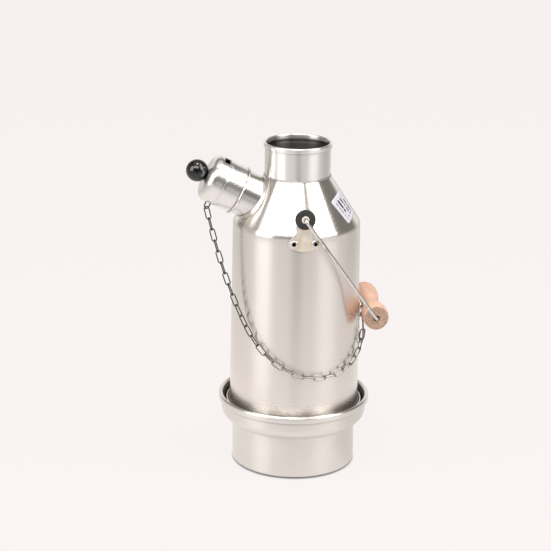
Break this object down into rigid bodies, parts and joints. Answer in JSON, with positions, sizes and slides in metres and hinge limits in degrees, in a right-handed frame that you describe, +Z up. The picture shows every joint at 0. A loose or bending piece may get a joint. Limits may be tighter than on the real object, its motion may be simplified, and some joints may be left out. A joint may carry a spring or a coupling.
{
  "type": "storm kettle",
  "caption": "Spun aluminium camping kettle whose water jacket surrounds a chimney, on a fire pan with an air hole, with a chained whistle cap and a folding bail with a wooden grip.",
  "frame": {"origin": "middle of the fire pan's flat underside", "axes": "+Z up the chimney, the spout towards -X, the bail's pivots along Y"},
  "size_m": [0.1706, 0.1306, 0.2845],
  "materials": {
    "spun_aluminium": "satin, brushed round the axis",
    "plated_steel": "bright plated",
    "black_rubber": "matte",
    "black_plastic": "gloss",
    "cream_nylon": "smooth",
    "raw_beech": "turned, unvarnished"
  },
  "bodies": {
    "pan": {"fire_base": "spun_aluminium"},
    "kettle": {"outer_jacket": "spun_aluminium", "flue": "spun_aluminium", "spout": "spun_aluminium", "grommet_front": "black_rubber", "grommet_rear": "black_rubber", "bush_front": "cream_nylon", "bush_rear": "cream_nylon", "bail_ear_front": "plated_steel", "bail_ear_rear": "plated_steel", "ear_rivet_front_left": "plated_steel", "ear_rivet_front_right": "plated_steel", "ear_rivet_rear_left": "plated_steel", "ear_rivet_rear_right": "plated_steel", "anchor_lug": "plated_steel", "anchor_rivet": "plated_steel", "anchor_ring": "plated_steel", "chain_link_01": "plated_steel", "chain_link_02": "plated_steel", "chain_link_03": "plated_steel", "chain_link_04": "plated_steel", "chain_link_05": "plated_steel", "chain_link_06": "plated_steel", "chain_link_07": "plated_steel", "chain_link_08": "plated_steel", "chain_link_09": "plated_steel", "chain_link_10": "plated_steel", "chain_link_11": "plated_steel", "chain_link_12": "plated_steel", "chain_link_13": "plated_steel", "chain_link_14": "plated_steel", "chain_link_15": "plated_steel", "chain_link_16": "plated_steel", "chain_link_17": "plated_steel", "chain_link_18": "plated_steel", "chain_link_19": "plated_steel", "chain_link_20": "plated_steel", "chain_link_21": "plated_steel", "chain_link_22": "plated_steel", "chain_link_23": "plated_steel", "chain_link_24": "plated_steel", "chain_link_25": "plated_steel", "chain_link_26": "plated_steel", "chain_link_27": "plated_steel"},
    "cap": {"whistle_cap": "spun_aluminium", "whistle_disc": "spun_aluminium", "knob": "black_plastic", "knob_screw": "plated_steel", "cap_chain_eye": "plated_steel"},
    "bail": {"bail_wire": "plated_steel"},
    "spool": {"grip": "raw_beech"}
  },
  "joints": [
    {"name": "kettle_lift", "type": "slide", "parent": "pan", "child": "kettle", "axis": [0, 0, 1], "range_m": [0, 0.06]},
    {"name": "cap_pull", "type": "slide", "parent": "kettle", "child": "cap", "axis": [-0.891, 0, 0.454], "range_m": [0, 0.03], "deforming": ["chain_link_01", "chain_link_02", "chain_link_03", "chain_link_04", "chain_link_05", "chain_link_06", "chain_link_07", "chain_link_08", "chain_link_09", "chain_link_10", "chain_link_11", "chain_link_12", "chain_link_13", "chain_link_14", "chain_link_15", "chain_link_16", "chain_link_17", "chain_link_18", "chain_link_19", "chain_link_20", "chain_link_21", "chain_link_22", "chain_link_23", "chain_link_24", "chain_link_25", "chain_link_26", "chain_link_27"]},
    {"name": "bail_swing", "type": "hinge", "parent": "kettle", "child": "bail", "pos_m": [0, 0, 0.2325], "axis": [0, -1, 0], "range_deg": [0, 290]},
    {"name": "grip_spin", "type": "hinge", "parent": "bail", "child": "spool", "pos_m": [0.06551, 0, 0.13786], "axis": [0, 1, 0], "continuous": true}
  ]
}
